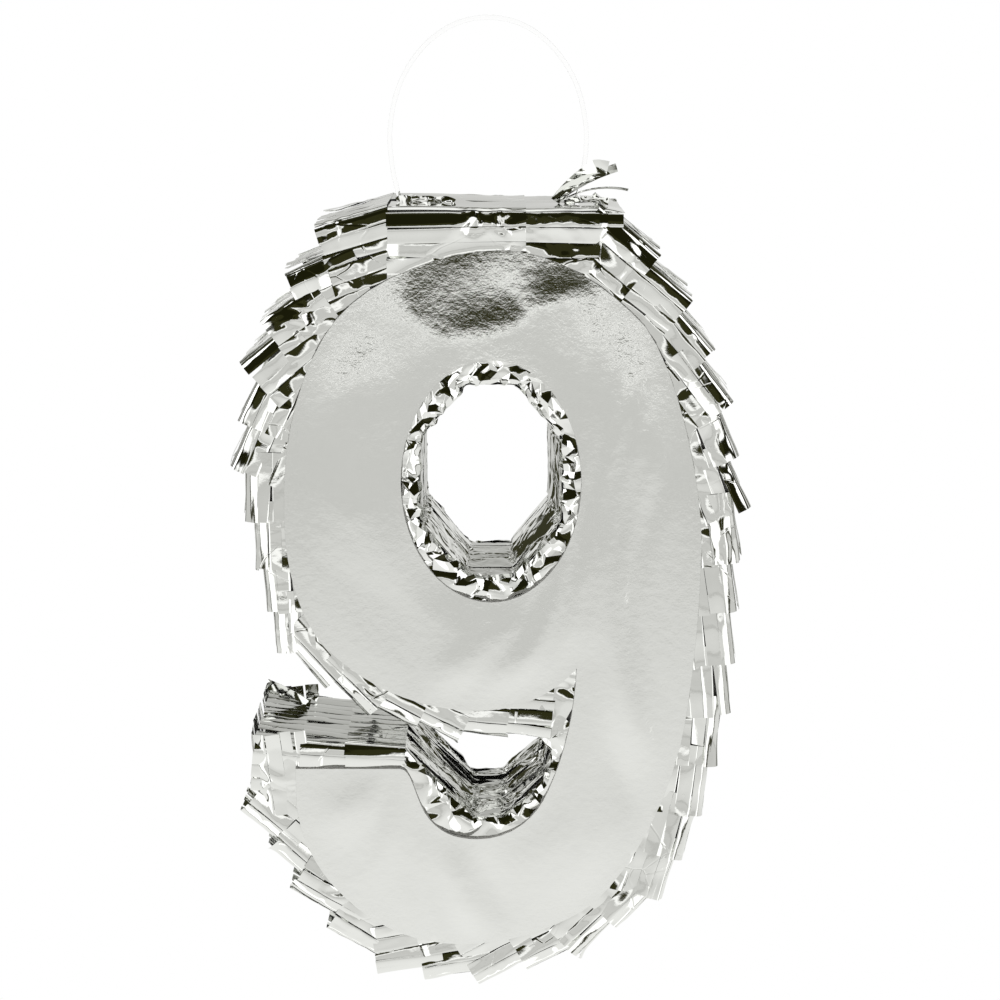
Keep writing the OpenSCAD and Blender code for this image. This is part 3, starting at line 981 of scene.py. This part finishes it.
def make_flap_tab():
    """The folded tab at the flap's lower edge: its free end stands out a little to be gripped."""
    low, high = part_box("flap_tab")
    sheets = Sheets()
    t = np.linspace(0, 1, 26)[:, None]
    v = np.linspace(-1, 1, 14)[None, :]
    rng = np.random.default_rng(31)
    dents = Waves(rng, 9 * MM, 5)
    x = (low.x + high.x) / 2 + v * (high.x - low.x) / 2 * (1 - 0.12 * smooth(t, 0.75, 1.0))
    z = high.z + t * (low.z - high.z)
    y = high.y + 0.4 * MM + 3.2 * MM * smooth(t, 0.55, 1.15) ** 1.5 + 0.15 * MM * dents(x, z) * t
    sheets.add(np.stack(np.broadcast_arrays(x, y, z), axis=-1), 0.35 * MM)
    sheets.make("flap_tab_foil", FACE_MATERIAL, "flap", ["flap_tab"])


# ---- Hanging cord and the loose film at its holes ----

HOLE_X = 59 * MM
TOP = -0.121                # the top wall's outer face
CORD = 3 * MM

# The loop's centreline, x and height above the top wall in millimetres, left hole to middle.
HALF_LOOP = [
    (-59, 0), (-62, 12), (-65, 28), (-66, 45), (-64, 62), (-59, 79), (-50, 95), (-37, 109),
    (-20, 119), (0, 122.5),
]


def through(points, steps):
    """A smooth line through every point."""
    p = np.array(points, float)
    p = np.vstack([2 * p[0] - p[1], p, 2 * p[-1] - p[-2]])
    line = []
    for a, b, c, d in zip(p, p[1:], p[2:], p[3:]):
        for t in np.arange(steps) / steps:
            line.append(0.5 * (2 * b + (c - a) * t + (2 * a - 5 * b + 4 * c - d) * t**2
                               + (3 * b - a - 3 * c + d) * t**3))
    return np.array(line + [p[-2]])


def make_cord_curve(name, lines, body, replaces):
    """Round cord along each of the lines."""
    data = bpy.data.curves.new(name, "CURVE")
    data.dimensions = "3D"
    data.bevel_depth = CORD / 2
    data.bevel_resolution = 6
    data.use_fill_caps = True
    for line in lines:
        spline = data.splines.new("POLY")
        spline.points.add(len(line) - 1)
        for point, place in zip(spline.points, line):
            point.co = (*place, 1)
        spline.use_smooth = True
    cord = bpy.data.objects.new(name, data)
    bpy.context.scene.collection.objects.link(cord)
    data.materials.append(CORD_MATERIAL)
    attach(cord, body)
    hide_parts(*replaces)
    return cord


def make_loop():
    """The cord from hole to hole. It is stiff, and stands up by itself."""
    route = HALF_LOOP + [(-x, h) for x, h in HALF_LOOP[-2::-1]]
    route = [(x * MM, 0, TOP + h * MM) for x, h in route]
    loop = make_cord_curve("hanger_cord", [through(route, 6)], "hanger", ["hanger_loop"])


def make_knots():
    """A barrel knot under each hole: two turns round the cord, which goes on as a short tail."""
    low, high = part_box("hanger_knots")
    core_low, core_high = low.z + 0.2 * MM, high.z - 0.2 * MM
    turns, turn_r, pitch, depth = 2.3, 2.95 * MM, 3.1 * MM, 7.6 * MM
    lines = []
    for side in (-1, 1):
        x, z = side * HOLE_X, TOP - depth
        height = np.linspace(core_high, core_low, 12)
        wander = 0.25 * MM * np.sin(height / (3 * MM))
        lines.append(np.stack([x + wander, 0 * height, height], axis=1))
        t = np.linspace(0, 1, 60)
        angle = t * turns * math.tau
        radius = turn_r * smooth(t, -0.03, 0.05) * smooth(t, 1.03, 0.95)
        lines.append(np.stack([
            x + side * radius * np.cos(angle), radius * np.sin(angle),
            z + (0.5 - t) * turns * pitch], axis=1))
    make_cord_curve("hanger_barrel_knots", lines, "pinata", ["hanger_knots"])


def loose_strip(sheets, rng, base, lean, curl, twist, length, width, crumple, fold=0.0):
    """A strip of film that rises from base, leaning right by lean degrees and then bending on.

    curl, twist and fold are in degrees, and crumple is the depth of its folds.
    """
    s = np.linspace(0, length, max(14, round(length / (1.1 * MM))))
    t = s / length
    v = np.linspace(-1, 1, 7)
    angle = np.radians(lean + curl * t + fold * smooth(t, 0.80, 0.86))
    step = np.diff(s, prepend=0)
    line = base + np.cumsum(np.sin(angle) * step)[:, None] * X
    line = line + np.cumsum(np.cos(angle) * step)[:, None] * Z
    tangent = np.sin(angle)[:, None] * X + np.cos(angle)[:, None] * Z
    normal = np.cross(tangent, Y)
    turn_angle = np.radians(twist * (0.6 + 0.4 * t))[:, None]
    across = Y * np.cos(turn_angle) + normal * np.sin(turn_angle)
    facing = np.cross(tangent, across)
    dents = Waves(rng, 8 * MM, 5, folds=True)
    grid = line[:, None, :] + v[None, :, None] * (width / 2) * across[:, None, :]
    dent = dents(s[:, None], v[None, :] * width / 2) * crumple + 0.25 * MM * (v**2)[None, :]
    sheets.add(grid + dent[..., None] * facing[:, None, :], FILM)


def make_tufts():
    """Loose ends of film at the two cord holes, and one at the end of the tail."""
    rng = np.random.default_rng(51)
    sheets = Sheets()
    base = np.array([45 * MM, -15 * MM, TOP + 3.0 * MM])
    for offset, lean, curl, twist, length, width, crumple, fold in (
        ((0, 0, 0), 38, 26, -80, 44, 9, 0.03, 38), ((1, 4, 0), 50, 22, -60, 46, 7, 0.03, 0),
        ((3, -3, 0), 58, 44, -18, 47, 7, 0.03, 0), ((6, 2, -1), 74, 30, 30, 30, 8, 0.9, 0),
    ):
        loose_strip(
            sheets, rng, base + np.array(offset) * MM, lean, curl, twist, length * MM, width * MM,
            crumple * MM, fold,
        )
    sheets.make_film("loose_film_right", ["hanger_tuft_right"])
    rng = np.random.default_rng(52)
    sheets = Sheets()
    for x, y, lean, curl, twist, length in (
        (-61, -14, 58, 60, 62, 9), (-56, -12, 60, 60, 60, 9), (-51, -15, 74, 50, 30, 12),
        (-45, -12, 70, 50, 70, 9), (-40, -15, 80, 40, 20, 12), (-35, -11, 70, 60, 50, 8),
        (-31, -15, 76, 50, 80, 8),
    ):
        base = np.array([x * MM, y * MM, TOP + 3.0 * MM])
        loose_strip(sheets, rng, base, lean, curl, twist, length * MM, 7 * MM, 0.9 * MM)
    sheets.make_film("loose_film_left", ["hanger_tuft_left"])
    sheets = Sheets()
    base = np.array([-134 * MM, 30 * MM, -489 * MM])
    loose_strip(sheets, rng, base, -56, -14, 78, 33 * MM, 8.5 * MM, 0.03 * MM)
    sheets.make_film("loose_film_tail")


# ---- The scene ----

# How far the two rows on each facet stand out from it, in degrees, from the top down.
RIGHT_OUTWARD = [
    (12, 15), (14, 13), (12, 11), (10, 9), (8, 8), (7, 7), (7, 7), (8, 8), (10, 11), (14, 14),
    (14, 14), (14, 14),
]
LEFT_OUTWARD = [(30, 23), (21, 18), (13, 11), (9, 9), (8, 8), (8, 8), (6, 6), (4, 4)]

make_camera()
CORD_MATERIAL = cord_material("clear_cord")
make_loop()
make_studio()
make_floor()

FACE_CARD = 0.3 * MM        # thickness of the foil-faced card
FACE_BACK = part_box("back_foil")[1].y
FACE_WAVES = Waves(np.random.default_rng(3), 120 * MM, 6)
FACE_VEINS = Waves(np.random.default_rng(4), 60 * MM, 3, folds=True)
FACE_LOBES = Waves(np.random.default_rng(8), 50 * MM, 4)
# Soft swells of the padded face: height, x, z and width in millimetres.
FACE_SWELLS = [
    (1.3, -92, -240, 40), (0.55, 76, -216, 38), (0.7, 120, -292, 44), (0.9, 20, -430, 36),
]
BACK_LOOPS = outline_loops("back_foil")[:2]
FACE_LOOPS = FACE_RIM, EYE_RIM = outline_loops("front_foil")[:2]
FILM_MATERIAL = film_material("fringe_film", (0.882, 0.889, 0.868), 0.00014)
FACE_MATERIAL = face_material("face_foil")
BOARD = card_material("grey_board", (0.20, 0.20, 0.19), (0.36, 0.355, 0.34), 0.00012)
CUT_CARD = card_material("cut_card", (0.46, 0.455, 0.44), (0.62, 0.615, 0.60), 0.00008)
PAPER = card_material("joint_paper", (0.42, 0.33, 0.22), (0.56, 0.45, 0.31), 0.00008)

for node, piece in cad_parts.items():
    if piece.hide_render:
        continue
    material = PAPER if node == "joint_tape" else BOARD
    for slot in piece.material_slots:
        slot.material = material

make_faces()
make_card_edge()
make_flap_tab()
make_cusps()
make_knots()
make_tufts()
make_top()
for side, first, way, seed, angles in (
    ("right", 0, 1, 100, RIGHT_OUTWARD), ("left", 26, -1, 200, LEFT_OUTWARD),
):
    for i, outward in enumerate(angles):
        fringe_edge(
            f"fringe_{side}_{i + 1:02d}", first + way * i, 2, way, seed + i, outward,
            turned=FIRST_TURNED if i == 0 else TURNED,
        )
fringe_edge("fringe_tail_end", 12, rows=1, direction=1, seed=300, outward=(4,), wild=0.6)
fringe_edge(
    "fringe_tail_top", 13, rows=3, direction=-1, seed=301, outward=(5, 5, 5), overlap=4 * MM,
    wild=0.5, fold_depth=0.1 * MM, slack_depth=0.2 * MM,
)
line_recess(
    "fringe_hole", HOLE, closed=True, turned=17 * MM, seed=401, creases=7, facet=6 * MM,
    shards=1.9 * MM, run=22 * MM, rock=0.35 * MM, crush=0.16,
    swelling=lambda x, z: (1.5 + 6 * np.maximum(-x, 0) ** 2 + z) * MM,
)
line_recess(
    "fringe_counter", NOTCH, closed=False, turned=20 * MM, seed=402, creases=9, facet=8 * MM,
    shards=1.7 * MM, run=26 * MM, rock=2.2 * MM, crush=0.2, swelling=lambda x, z: 1.0 * MM,
)

bpy.context.scene.view_settings.view_transform = "Standard"
